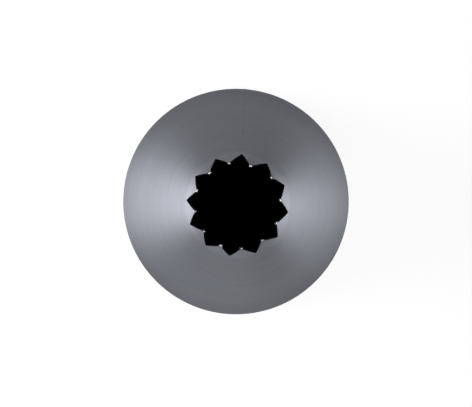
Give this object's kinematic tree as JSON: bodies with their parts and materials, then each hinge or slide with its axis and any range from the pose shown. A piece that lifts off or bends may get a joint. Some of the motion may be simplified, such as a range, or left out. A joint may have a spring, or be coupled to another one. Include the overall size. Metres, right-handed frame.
{
  "type": "piping nozzle",
  "caption": "Open star piping nozzle: a thin brushed steel cone with an open base and a crown of sharp V-cut teeth round the tip, closed by one welded seam.",
  "frame": {"origin": "centre of the open base, on the plane that the base edge rests on", "axes": "+Z along the cone's axis from the open base to the toothed tip, the way the filling leaves; +X to the right of the picture and +Y to its top, close to the seam's side"},
  "size_m": [0.033, 0.033, 0.05],
  "materials": {
    "sheet_steel": "stainless sheet, brushed round the axis",
    "weld_steel": "stainless weld, dressed flush and brushed outside, left as a low bead inside"
  },
  "bodies": {
    "root": {"rolled_cone": "sheet_steel", "seam_weld": "weld_steel"}
  },
  "joints": []
}
